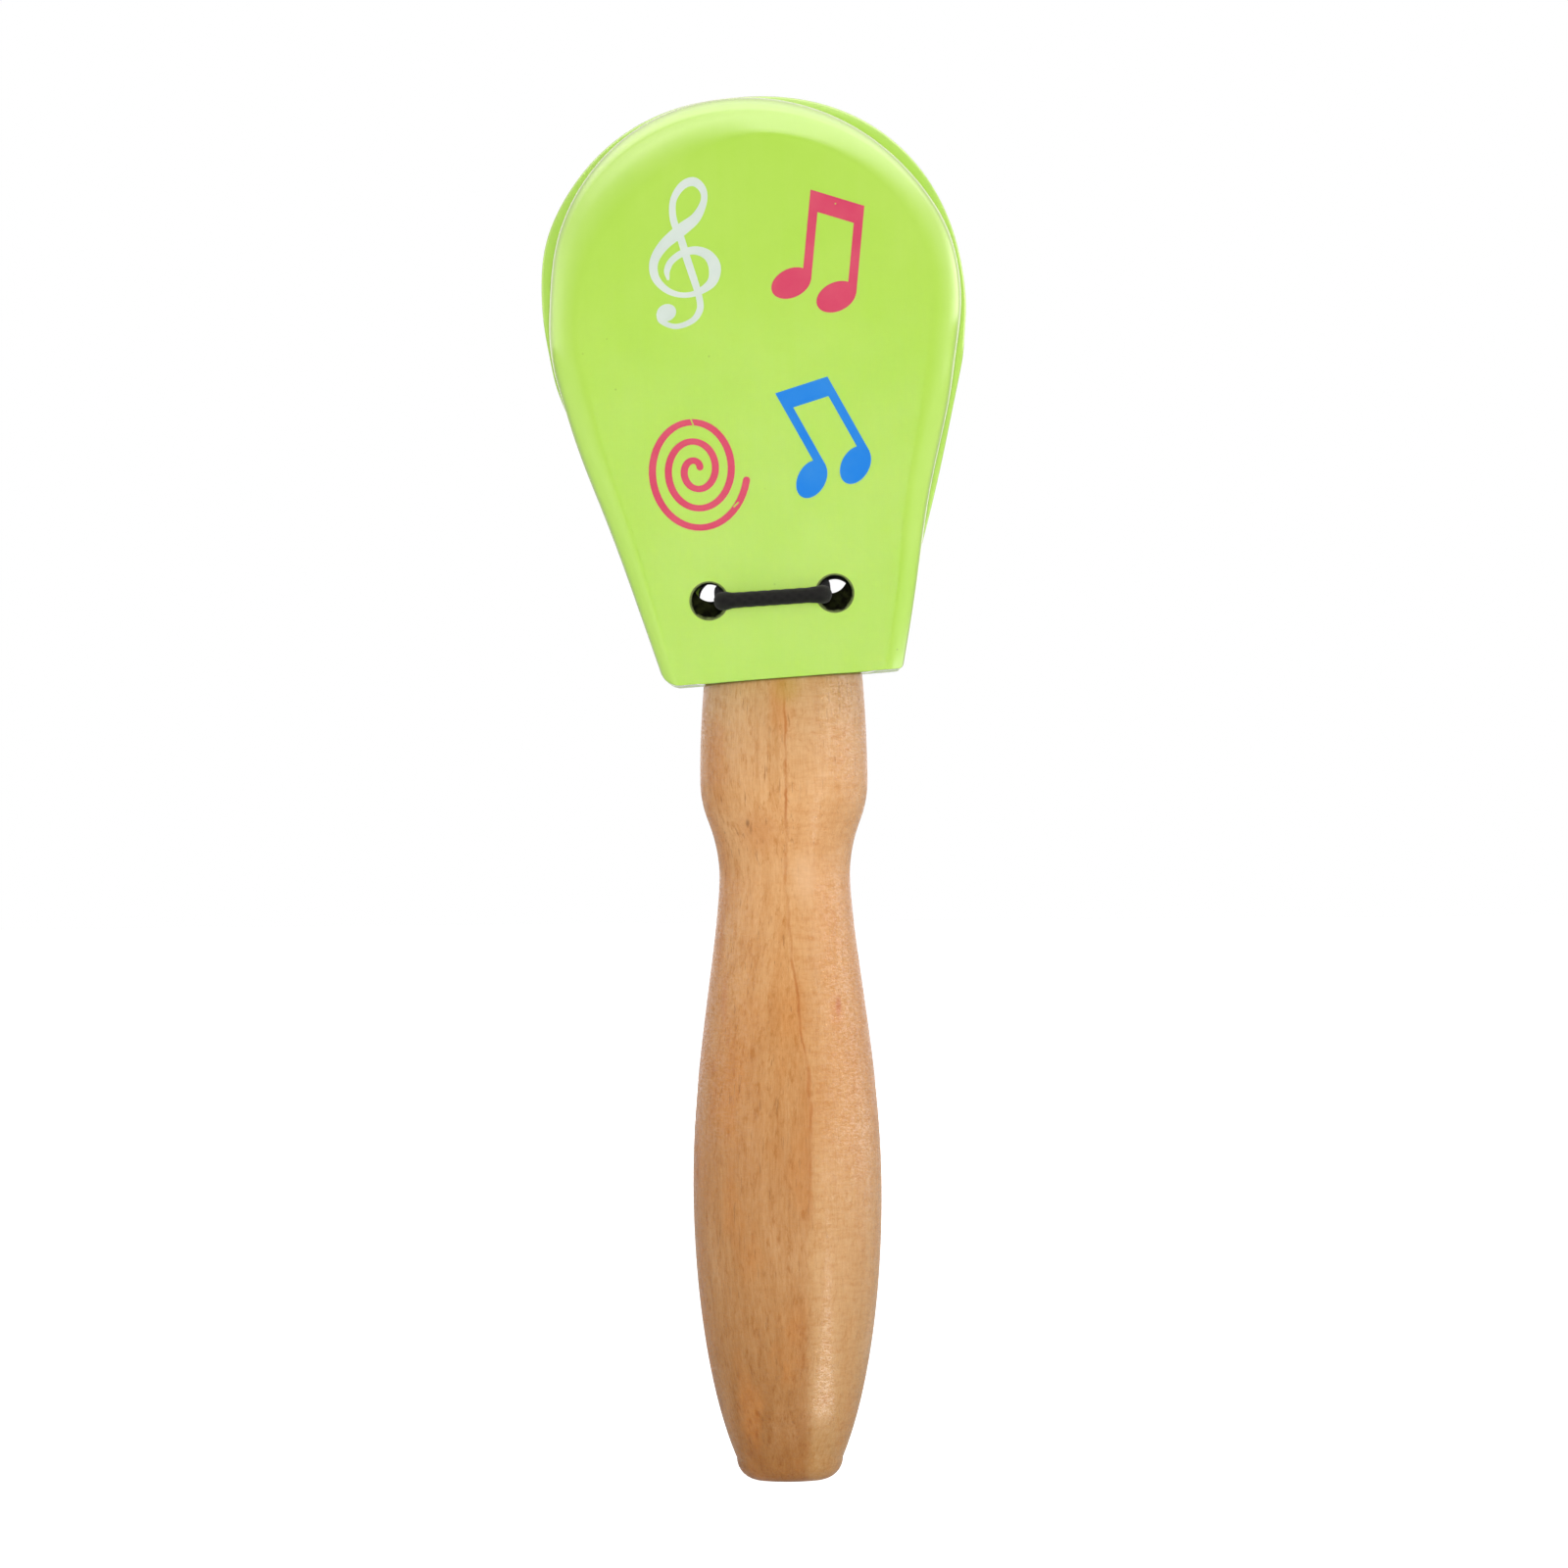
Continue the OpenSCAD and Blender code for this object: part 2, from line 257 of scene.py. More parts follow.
def lacqueredWood():
    # heights in millimetres and tones of the wood, from the butt up to the shoulder
    tones = dict(
        butt=(-39, (188, 147, 95)), grip=(-12, (212, 167, 116)), waist=(20, (217, 164, 108)),
        neck=(38, (224, 172, 118)), barrel=(52, (226, 175, 121)), shoulder=(64, (212, 169, 124)),
    )
    look = dict(
        brown=(0.82, 0.7, 0.52, 1), thread=(0.9, 0.8, 0.66, 1), heart=(0.74, 0.58, 0.42, 1),
        orange=paintColour(206, 138, 72), pale=paintColour(236, 194, 150),
        line=paintColour(184, 112, 54), poreTint=paintColour(146, 96, 50),
    )
    # marks of this one piece of wood, and under the head a patch of painted shade with a painted green
    # reflection of the clappers: place in millimetres, half sizes, strength, colour
    marks = (
        ((-3.4, -8.6, 47), (4.2, 6, 4.5), 0.5, paintColour(204, 138, 80)),
        ((-4.8, -8.4, 48.2), (0.4, 2, 0.8), 0.65, paintColour(126, 80, 46)),
        ((-4.4, -8.4, 47.4), (0.3, 2, 1.0), 0.5, paintColour(150, 96, 54)),
        # painted shade and painted green reflection of the clappers, just under the head
        ((0.5, -10.5, 66), (2.6, 3, 3.2), 0.5, paintColour(192, 152, 74)),
        ((6.9, -8.0, 24), (0.6, 2, 2.0), 0.8, paintColour(176, 98, 54)),
        ((6.6, -8.1, 23), (1.6, 3, 3.4), 0.4, paintColour(210, 140, 88)),
        ((-8.2, -7.5, 26), (0.9, 3, 6), 0.4, paintColour(196, 122, 78)),
        ((2.6, -8.4, 41), (2.6, 5, 5), 0.5, paintColour(236, 192, 146)),
    )
    material, desk, shader = startMaterial("lacqueredWood")
    place = desk.millimetres()
    grain = desk.group(fibreGroup, Place=place, Drift=1.8)
    cover = desk.group(cloudGroup, Place=desk.millimetres((1, 1, 0.4)), Cloud_Size=0.17)
    axes = desk.axes(place)
    # a thin grain line parts the browner, streaky left from the paler, rippled right
    wobble = desk.spread(desk.noise(desk.millimetres((0.1, 0.1, 0.16)), 1.0, 4), 0.3, 0.7, -0.4, 0.4)
    lineX = desk.spread(axes["Z"], 42, 5, 0.25, 3.3, "SMOOTHSTEP")
    lineX = desk.maths("ADD", lineX, desk.spread(axes["Z"], 5, -8, 0, -0.9, "SMOOTHSTEP"))
    beside = desk.maths("ADD", desk.maths("SUBTRACT", axes["X"], lineX), wobble)
    rightHalf = desk.spread(beside, -0.6, 1.2, 0, 1, "SMOOTHSTEP")

    def share(mask, left, right):
        return desk.maths("MULTIPLY", mask, desk.spread(rightHalf, 0, 1, left, right))

    body = desk.ramp(axes["Z"], [(at, paintColour(*colour)) for at, colour in tones.values()])
    # the left half of the grip is browner, most of all at the butt
    browner = desk.spread(axes["Z"], 28, 2, 0, 0.55)
    browner = desk.maths("ADD", browner, desk.spread(axes["Z"], -10, -39, 0, 0.45))
    body = desk.blend(share(browner, 1, 0), body, look["heart"], "MULTIPLY")
    body = desk.blend(share(desk.spread(cover["Cloud"], 0.48, 0.64), 0.5, 0.2), body, look["orange"])
    body = desk.blend(share(desk.spread(cover["Cloud"], 0.42, 0.28), 0.15, 0.3), body, look["pale"])
    # ripple across the grain and short crooked marks, mostly right of the line
    ripple = desk.noise(desk.millimetres((0.3, 0.3, 1.5)), 1.0, 4, 0.62)
    crooked = desk.add("ShaderNodeTexNoise", {
        "Vector": place, "Scale": 0.95, "Detail": 3.0, "Distortion": 1.6}).outputs["Fac"]
    # what darkens the wood: where it begins and is full, its share left and right of the line, its tint
    shades = (
        (grain["Streak"], 0.44, 0.64, 0.5, 0.25, "brown"),
        (grain["Fleck"], 0.53, 0.66, 0.9, 0.4, "brown"),
        (grain["Fibre"], 0.6, 0.4, 0.7, 0.55, "thread"),
        (ripple, 0.47, 0.62, 0.12, 0.55, "thread"),
        (crooked, 0.54, 0.66, 0.2, 0.6, "thread"),
    )
    for mask, low, high, left, right, tint in shades:
        body = desk.blend(share(desk.spread(mask, low, high), left, right), body, look[tint], "MULTIPLY")
    lineFade = desk.ramp(axes["Z"], [(at, (v, v, v, 1)) for at, v in (
        (-9, 0), (3, 0.4), (12, 0.7), (24, 0.85), (33, 0.45), (46, 0.3), (51, 0.85), (63, 0.75), (66, 0.3))])
    broken = desk.spread(desk.noise(desk.millimetres((0.3, 0.3, 0.35)), 1.0, 3), 0.35, 0.55, 0.35, 1)
    lineWidth = desk.spread(desk.noise(desk.millimetres((0.2, 0.2, 0.14)), 1.0, 2), 0.3, 0.7, 0.08, 0.24)
    lineMask = desk.spread(desk.maths("DIVIDE", desk.maths("ABSOLUTE", beside), lineWidth), 0.4, 1.6, 1, 0)
    lineMask = desk.maths("MULTIPLY", lineMask, desk.maths("MULTIPLY", lineFade, broken))
    body = desk.blend(lineMask, body, look["line"])
    poreShare = desk.spread(rightHalf, 0, 1, 0.4, 0.16)
    poreShare = desk.maths("ADD", poreShare, desk.spread(axes["Z"], 40, 60, 0, 0.2))
    body = desk.blend(desk.maths("MULTIPLY", grain["Pore"], poreShare), body, look["poreTint"])
    for centre, size, strength, colour in marks:
        body = desk.blend(desk.spot(place, centre, size, strength), body, colour)
    rough = desk.spread(grain["Fibre"], 0.3, 0.7, 0.52, 0.36)
    latheMarks = desk.noise(desk.millimetres((0.9, 0.9, 4)), 1.0, 3)
    relief = desk.bump(latheMarks, 0.03, 0.8)
    relief = desk.bump(grain["Fibre"], 0.03, 0.8, relief)
    relief = desk.bump(grain["Pore"], -0.03, 0.8, relief)
    # the lacquer lies in fine rings, so its gloss is broken up
    glaze = desk.spread(desk.noise(desk.millimetres((1.2, 1.2, 4.5)), 1.0, 3, 0.65), 0.44, 0.58, 0.02, 0.6)
    desk.feed(shader, Base_Color=body, Roughness=rough, Coat_Weight=glaze, Normal=relief,
              Specular_IOR_Level=0.2, Coat_Roughness=0.2)
    return material


def greenPaint():
    look = dict(
        main=paintColour(182, 226, 84), pale=paintColour(188, 228, 94), speckTint=paintColour(140, 176, 70))
    material, desk, shader = startMaterial("greenPaint")
    place = desk.millimetres()
    grain = desk.group(fibreGroup, Place=place)
    cover = desk.group(cloudGroup, Place=place)
    tone = desk.maths("ADD", desk.spread(cover["Cloud"], 0.36, 0.64, 0, 0.75),
                      desk.spread(grain["Streak"], 0.3, 0.7, 0, 0.25))
    body = desk.blend(tone, look["main"], look["pale"])
    body = desk.blend(desk.maths("MULTIPLY", cover["Speck"], 0.5), body, look["speckTint"])
    relief = desk.bump(grain["Fibre"], 0.012, 0.7)
    relief = desk.bump(cover["Peel"], 0.02, 0.5, relief)
    rough = desk.spread(cover["Peel"], 0.3, 0.7, 0.32, 0.42)
    desk.feed(shader, Base_Color=body, Roughness=rough, Normal=relief, Specular_IOR_Level=0.05,
              Coat_Weight=1, Coat_Roughness=0.12, Coat_IOR=1.9)
    return material


def drilledHole():
    # deep in the holes the walls are painted near black, mottled with dark olive, as painted shade; at the
    # mouth they turn dull green where the paint runs in
    look = dict(dark=paintColour(20, 20, 13), shadeOlive=paintColour(46, 50, 25), mouth=paintColour(126, 140, 84))
    material, desk, shader = startMaterial("drilledHole")
    place = desk.millimetres()
    cover = desk.group(cloudGroup, Place=place, Cloud_Size=1.2)
    # the near-black painted shade, mottled with the olive painted shade
    body = desk.blend(desk.spread(cover["Cloud"], 0.4, 0.7), look["dark"], look["shadeOlive"])
    depth = desk.maths("ABSOLUTE", desk.axes(place)["Y"])
    edge = desk.maths("ADD", depth, desk.spread(cover["Cloud"], 0.3, 0.7, -0.15, 0.15))
    body = desk.blend(desk.spread(edge, 14.75, 15.05), body, look["mouth"])
    rough = desk.spread(cover["Peel"], 0.3, 0.7, 0.8, 0.95)
    desk.feed(shader, Base_Color=body, Roughness=rough, Specular_IOR_Level=0.1)
    return material


def printedInk(name, main, thin):
    material, desk, shader = startMaterial(name)
    cover = desk.group(cloudGroup, Place=desk.millimetres(), Cloud_Size=0.22)
    body = desk.blend(desk.spread(cover["Cloud"], 0.35, 0.65), main, thin)
    rough = desk.spread(cover["Peel"], 0.3, 0.7, 0.4, 0.52)
    relief = desk.bump(cover["Peel"], 0.012, 0.6)
    desk.feed(shader, Base_Color=body, Roughness=rough, Normal=relief, Specular_IOR_Level=0.35)
    return material


def blackElastic():
    look = dict(dark=paintColour(19, 19, 18), light=paintColour(32, 32, 30), holeShade=paintColour(8, 8, 6))
    material, desk, shader = startMaterial("blackElastic")
    weave = desk.add("ShaderNodeAttribute", attribute_name="braid").outputs["Fac"]
    fuzz = desk.noise(desk.millimetres(), 7, 3, 0.6)
    # strand crests are painted lighter and the grooves between them darker: painted highlight and painted
    # shade on the braid
    tone = desk.maths("MULTIPLY", weave, desk.spread(fuzz, 0.3, 0.7, 0.4, 1))
    body = desk.blend(tone, look["dark"], look["light"])
    # painted shade: the cord is darkened where it goes into its holes
    depth = desk.maths("ABSOLUTE", desk.axes(desk.millimetres())["Y"])
    body = desk.blend(desk.spread(depth, 15.9, 14.9, 0, 0.85), body, look["holeShade"])
    rough = desk.spread(fuzz, 0.3, 0.7, 0.82, 0.96)
    desk.feed(shader, Base_Color=body, Roughness=rough, Normal=desk.bump(fuzz, 0.05, 0.8),
              Sheen_Weight=0.1, Specular_IOR_Level=0.2)
    return material


wood = lacqueredWood()
paint = greenPaint()
holeWall = drilledHole()
pinkInk = printedInk("pinkInk", paintColour(209, 66, 98), paintColour(213, 80, 105))
blueInk = printedInk("blueInk", paintColour(20, 127, 220), paintColour(40, 134, 220))
whiteInk = printedInk("whiteInk", paintColour(214, 223, 214), paintColour(205, 217, 207))
elastic = blackElastic()
print("materials ready")


# modelling helpers

def addObject(name, data):
    made = bpy.data.objects.new(name, data)
    bpy.context.scene.collection.objects.link(made)
    return made


def closedLoop(bm, verts):
    return [bm.edges.new(pair) for pair in zip(verts, verts[1:] + verts[:1])]


def joinLoops(bm, loops):
    # closed loops joined in order, with both ends filled
    for lower, upper in zip(loops, loops[1:]):
        bmesh.ops.bridge_loops(bm, edges=lower + upper)
    for end in (loops[0], loops[-1]):
        bmesh.ops.edgeloop_fill(bm, edges=end)


def loft(bm, rings):
    joinLoops(bm, [closedLoop(bm, [bm.verts.new(p) for p in ring]) for ring in rings])
    bmesh.ops.recalc_face_normals(bm, faces=bm.faces[:])


def turned(bm, profile, steps):
    # (radius, height) points turned about Z
    verts = [bm.verts.new((radius, 0, height)) for radius, height in profile]
    edges = [bm.edges.new(pair) for pair in zip(verts, verts[1:])]
    bmesh.ops.spin(bm, geom=verts + edges, cent=(0, 0, 0), axis=(0, 0, 1), angle=math.tau, steps=steps,
                   use_merge=True)
    bmesh.ops.remove_doubles(bm, verts=bm.verts[:], dist=0.0005)
    bmesh.ops.dissolve_degenerate(bm, edges=bm.edges[:], dist=0.0001)
    bmesh.ops.recalc_face_normals(bm, faces=bm.faces[:])


def smoothFaces(mesh, sharpAngle, largest=40):
    # smooth all but the large flat faces and what lies in one plane with them, which keep one even normal
    sameWay, samePlane = 0.9999, 0.01 * mm
    mesh.set_sharp_from_angle(angle=math.radians(sharpAngle))
    planes = [(face.normal.copy(), face.normal.dot(face.center)) for face in mesh.polygons
              if face.area > largest * mm * mm]

    def inPlane(face):
        return any(face.normal.dot(normal) > sameWay and abs(normal.dot(face.center) - offset) < samePlane
                   for normal, offset in planes)

    mesh.polygons.foreach_set("use_smooth", [not inPlane(face) for face in mesh.polygons])


def piece(name, bm, place, materials, sharpAngle=40):
    bm.transform(place)
    bmesh.ops.recalc_face_normals(bm, faces=bm.faces[:])
    # the faces of a closed piece look outwards, or a cutter wouldn't cut
    if bm.calc_volume(signed=True) < 0:
        bmesh.ops.reverse_faces(bm, faces=bm.faces[:])
    bm.transform(toMetres)
    mesh = bpy.data.meshes.new(name)
    bm.to_mesh(mesh)
    bm.free()
    made = addObject(name, mesh)
    for material in materials:
        mesh.materials.append(material)
    smoothFaces(mesh, sharpAngle)
    return made


def cutAway(made, cutters, sharpAngle=40):
    # drills, hollows and the heel are cut with exact booleans, then the tools are thrown away
    for cutter in cutters:
        cut = made.modifiers.new(cutter.name, "BOOLEAN")
        cut.operation, cut.solver, cut.material_mode = "DIFFERENCE", "EXACT", "TRANSFER"
        cut.object = cutter
    depsgraph = bpy.context.evaluated_depsgraph_get()
    mesh = bpy.data.meshes.new_from_object(made.evaluated_get(depsgraph))
    mesh.name = made.name
    made.modifiers.clear()
    made.data = mesh
    for cutter in cutters:
        bpy.data.objects.remove(cutter)
    smoothFaces(mesh, sharpAngle)


# the turned handle

handleSize = dict(
    length=106.15, gripHeight=38.9, gripDiameter=25, buttDiameter=14.1, buttRound=3,
    neckHeight=80, neckDiameter=17.3, neckBias=0.8, barrelHeight=92.6, barrelDiameter=22.2,
    shoulderDiameter=21, shoulderRound=0.3, bulge=0.42, leanFrom=94.6, steps=144,
)


def turnedRadius(h):
    s = handleSize
    r = s["buttRound"]
    if h < r:
        return s["buttDiameter"] / 2 - r + math.sqrt(r ** 2 - (r - h) ** 2)
    if h < s["gripHeight"]:
        half = (s["gripHeight"] - r) / math.sqrt(1 - (s["buttDiameter"] / s["gripDiameter"]) ** 2)
        return s["gripDiameter"] / 2 * math.sqrt(1 - ((s["gripHeight"] - h) / half) ** 2)
    if h < s["neckHeight"]:
        t = (s["neckHeight"] - h) / (s["neckHeight"] - s["gripHeight"])
        return mix(s["neckDiameter"], s["gripDiameter"], ease(t ** s["neckBias"])) / 2
    if h < s["barrelHeight"]:
        t = (s["barrelHeight"] - h) / (s["barrelHeight"] - s["neckHeight"])
        b = s["bulge"]
        t = t * t / b if t < b else 1 - (1 - t) ** 2 / (1 - b)
        return mix(s["barrelDiameter"], s["neckDiameter"], t) / 2
    t = (h - s["barrelHeight"]) / (s["length"] - s["barrelHeight"])
    return mix(s["barrelDiameter"], s["shoulderDiameter"], t * t) / 2


def makeHandle():
    s = handleSize
    r = s["shoulderRound"]
    buttSteps, bodySteps, edgeSteps = 8, 150, 6
    top = s["length"] - r
    heights = [s["buttRound"] * (1 - math.cos(math.pi / 2 * i / buttSteps)) for i in range(buttSteps)]
    heights += [mix(s["buttRound"], top, i / bodySteps) for i in range(bodySteps)]
    profile = [(0, 0)] + [(turnedRadius(h), h) for h in heights]
    edge = turnedRadius(top)
    for i in range(edgeSteps + 1):
        a = math.pi / 2 * i / edgeSteps
        profile.append((edge - r + r * math.cos(a), top + r * math.sin(a)))
    neck, c = spigot["diameter"] / 2, spigot["chamfer"]
    tip = s["length"] + spigot["length"]
    profile += [(neck, s["length"]), (neck, tip - c), (neck - c, tip), (0, tip)]
    bm = bmesh.new()
    turned(bm, profile, s["steps"])
    # the shoulder is cut square to the leaning head
    for vert in bm.verts:
        if vert.co.z <= s["length"] + 0.01:
            share = max(0, (vert.co.z - s["leanFrom"]) / (s["length"] - s["leanFrom"]))
            vert.co.z += vert.co.x * math.tan(headLean) * ease(share)
    return piece("turned_handle", bm, Matrix.Translation((0, 0, -s["gripHeight"])), [wood], 50)


handle = makeHandle()
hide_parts("handle")
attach(handle, "handle")
print("handle turned")


# boards: paddle and clappers, drawn as X across, Y depth outwards and Z up from the shoulder

# sanding: side, height, reach and amount of slow swellings (+) and dips (-) left by sanding the edges by hand
paddleSize = dict(
    width=55.9, wideHeight=48.2, length=77.05, footWidth=30.4, skew=0.1, fullness=0.9, footRounds=(5, 4),
    footDrop=-0.15, thickness=12, glueGap=0.1,
    edge=0.35, edgeSteps=5, edgeTurn=0.85, facetWidth=1.5, facetDrop=0.28,
    sanding=((1, 44, 3, -0.2), (1, 23, 14, 0.52), (-1, 60, 6.5, 0.5), (-1, 45, 4, -0.3)),
    # the paddle was drilled by itself, so its two holes don't quite meet the clappers' holes; shallow
    # recesses round them carry the dark hole material as painted shade
    holeMoves=((0.3, 2.4), (-0.6, 2.3)), shadeRecess=2.6, shadeRecessDepth=0.7,
)
clapperSize = dict(
    width=54.4, wideHeight=47.6, length=76, footWidth=32, skew=1.2, fullness=0.98, footRounds=(2.2, 0.6),
    footDrop=0, footHang=0.28, hangFrom=5.8, thickness=9, rim=0.4, innerAt=6.2, footAt=0.4,
    hollowWidth=34, hollowDepth=3, heelRound=4.3, heelOut=0.03, heelSteps=12,
    sanding=((1, 57, 6, 0.32), (1, 42, 5, -0.4), (1, 22, 10, -0.6), (-1, 52, 6, -0.4), (-1, 32, 9.5, 0.58)),
    # border of the flat face: round-over and facet at the crown, shallow dome and tight edge at the sides
    roundWide=2.8, roundDeep=2.4, roundSteps=16, facetWidth=3.2, facetSlope=15,
    leftDrop=0.45, leftTurn=2.2, leftReach=0.5,
    edgeWide=1.0, edgeDeep=2.0, domeWidth=3.1, domeDrop=0.75, footShare=0.62, faceSkew=-2.4, facePeak=1.22,
)
cordHoles = dict(
    diameter=4.5, pitch=16.7, height=10.8, shift=-0.5, chamfer=0.12, steps=64,
    lipDeep=0.4, lipWide=1.2, lipInset=0.02, lipLower=0.12,
)
# how far each clapper's left and right hole lies off its place, X and Z
clapperHoles = {-1: ((0, 0.15), (-0.25, -0.1)), 1: ((0.8, 1.0), (0, 0.15))}
crownSteps, cornerSteps, flankSteps, sideSteps, footSteps = 112, 6, 10, 24, 12
past = 1  # how far the cutting tools reach past what they cut


def sanded(board, x, z):
    side = math.copysign(1, x)
    for at, height, reach, amount in board["sanding"]:
        if at == side:
            x += side * amount * math.exp(-((z - height) / reach) ** 2)
    return (x, z)


def boardOutline(board, crownIn=0.0, sideIn=0.0, footIn=0.0, skew=None, peak=1.0, hang=0.0):
    # oval crown above the widest line, round flanks and straight sides below, rounded foot corners
    skew = board["skew"] if skew is None else skew
    r = board["width"] / 2 - sideIn
    wide = board["wideHeight"]
    crown = board["length"] - wide - crownIn

    def arc(x, z, radius, start, end, steps):
        turns = [mix(start, end, i / steps) for i in range(steps + 1)]
        return [(x + radius * math.cos(a), z + radius * math.sin(a)) for a in turns]

    def between(a, b, steps):
        return [(mix(a[0], b[0], i / steps), mix(a[1], b[1], i / steps)) for i in range(1, steps)]

    def footCorner(radius):
        # the corner's radius, its middle, and the slope of the side that touches it and the flank
        corner = max(radius - footIn, 0.1)
        x, z = board["footWidth"] / 2 - footIn - corner, corner - board["footDrop"] - hang
        rise = Vector((-x, wide - z))
        return corner, x, z, math.atan2(rise.y, rise.x) - math.acos((corner - r) / rise.length)

    leftCorner, leftX, leftZ, leftSide = footCorner(board["footRounds"][0])
    rightCorner, rightX, rightZ, rightSide = footCorner(board["footRounds"][1])
    upper = []
    for i in range(1, crownSteps):
        a = math.pi * i / crownSteps
        across = math.copysign(abs(math.cos(a)) ** (peak * board["fullness"]), math.cos(a))
        upper.append((r * across - skew * math.sin(a) ** 2, wide + crown * math.sin(a) ** board["fullness"]))
    rightFlank = arc(0, wide, r, rightSide, 0, flankSteps)
    leftFlank = arc(0, wide, r, math.pi, math.pi - leftSide, flankSteps)
    leftFoot = arc(-leftX, leftZ, leftCorner, math.pi - leftSide, math.pi * 1.5, cornerSteps)
    rightFoot = arc(rightX, rightZ, rightCorner, math.pi * 1.5, math.tau + rightSide, cornerSteps)
    line = rightFlank + upper + leftFlank + between(leftFlank[-1], leftFoot[0], sideSteps) + leftFoot
    line += between(leftFoot[-1], rightFoot[0], footSteps) + rightFoot
    line += between(rightFoot[-1], rightFlank[0], sideSteps)
    return [sanded(board, x, z) for x, z in line]


def atDepth(outline, depth):
    return [(x, depth, z) for x, z in outline]


def roundCutter(name, profile, moves):
    # the same turned tool at both cord holes
    s = cordHoles
    bm = bmesh.new()
    for side, (moveX, moveZ) in zip((-1, 1), moves):
        one = bmesh.new()
        turned(one, profile, s["steps"])
        at = (side * s["pitch"] / 2 + s["shift"] + moveX, 0, s["height"] + moveZ)
        one.transform(Matrix.Translation(at) @ Matrix.Rotation(-math.pi / 2, 4, "X"))
        scrap = bpy.data.meshes.new("scrap")
        one.to_mesh(scrap)
        one.free()
        bm.from_mesh(scrap)
        bpy.data.meshes.remove(scrap)
    return piece(name, bm, headPlace, [holeWall])


def drill(name, low, high, moves):
    # the cord holes, with a small chamfer at each open face
    r, c = cordHoles["diameter"] / 2, cordHoles["chamfer"]
    profile = [(0, low - past), (r + c + past, low - past), (r, low + c)]
    profile += [(r, high - c), (r + c + past, high + past), (0, high + past)]
    return roundCutter(name, profile, moves)


def makePaddle():
    s = paddleSize
    half, e, n = s["thickness"] / 2, s["edge"], s["edgeSteps"]
    slices = []
    for i in range(n + 1):
        a = math.pi / 2 * i / n * s["edgeTurn"]
        slices.append((half - s["facetDrop"] - e + e * math.sin(a), e * (1 - math.cos(a))))
    slices += [(half - s["facetDrop"] * share, e + s["facetWidth"] * (1 - share)) for share in (0.5, 0.2, 0)]
    slices = [(-d, inset) for d, inset in reversed(slices)] + slices
    bm = bmesh.new()
    loft(bm, [atDepth(boardOutline(s, inset, inset, inset), depth) for depth, inset in slices])
    made = piece("green_paddle", bm, headPlace, [paint, holeWall])
    bm = bmesh.new()
    bore, depth, below = spigot["diameter"] / 2 + s["glueGap"], spigot["length"] + s["glueGap"], -2
    turned(bm, [(0, below), (bore, below), (bore, depth), (0, depth)], cordHoles["steps"])
    cutters = [
        piece("socket_drill", bm, Matrix.Translation((0, 0, shoulderZ)), [holeWall]),
        drill("paddle_drill", -half, half, s["holeMoves"]),
    ]
    # shallow recesses round the holes in both paddle faces, in the dark hole material: painted shade seen
    # through the clappers' holes
    for side, label in ((-1, "front"), (1, "rear")):
        floor, top = side * (half - s["shadeRecessDepth"]), side * (half + past)
        profile = [(0, floor), (s["shadeRecess"], floor), (s["shadeRecess"], top), (0, top)]
        cutters.append(roundCutter(label + "_shade_recess", profile, clapperHoles[side]))
    cutAway(made, cutters)
    return made


def borderRings(s):
    # drop below the flat face, and how far the outline is drawn in at the crown and along the sides
    def roundOver(wide, deep, slope):
        # quarter of an oval that starts at the given slope and ends upright
        start = math.atan2(deep, wide * slope)

        def drawnIn(drop):
            sine = max(0, math.sin(start) - drop / deep)
            return wide * (1 - math.sqrt(1 - sine * sine))
        return drawnIn

    slope = math.tan(math.radians(s["facetSlope"]))
    facetDrop = s["facetWidth"] * slope
    crownRound = roundOver(s["roundWide"], s["roundDeep"], slope)
    sideRound = roundOver(s["edgeWide"], s["edgeDeep"], 2 * s["domeDrop"] / s["domeWidth"])

    def crownIn(drop):
        if drop < facetDrop:
            return crownRound(0) + s["facetWidth"] * (1 - drop / facetDrop)
        return crownRound(drop - facetDrop)

    def sideIn(drop):
        if drop < s["domeDrop"]:
            return sideRound(0) + s["domeWidth"] * (1 - math.sqrt(drop / s["domeDrop"]))
        return sideRound(drop - s["domeDrop"])

    drops = [facetDrop * share for share in (0, 0.01, 0.075, 0.25, 0.5, 0.75)]
    for i in range(s["roundSteps"] + 1):
        drops.append(facetDrop + s["roundDeep"] * (i / s["roundSteps"]) ** 1.6)
    rings = [(drop, crownIn(drop), sideIn(drop)) for drop in drops]
    # the facet fades into the flat face
    for i, more in ((0, 0.12), (1, 0.04)):
        rings[i] = (rings[i][0], rings[i][1] + more * s["facetWidth"], rings[i][2])
    return crownIn(0), rings[::-1]


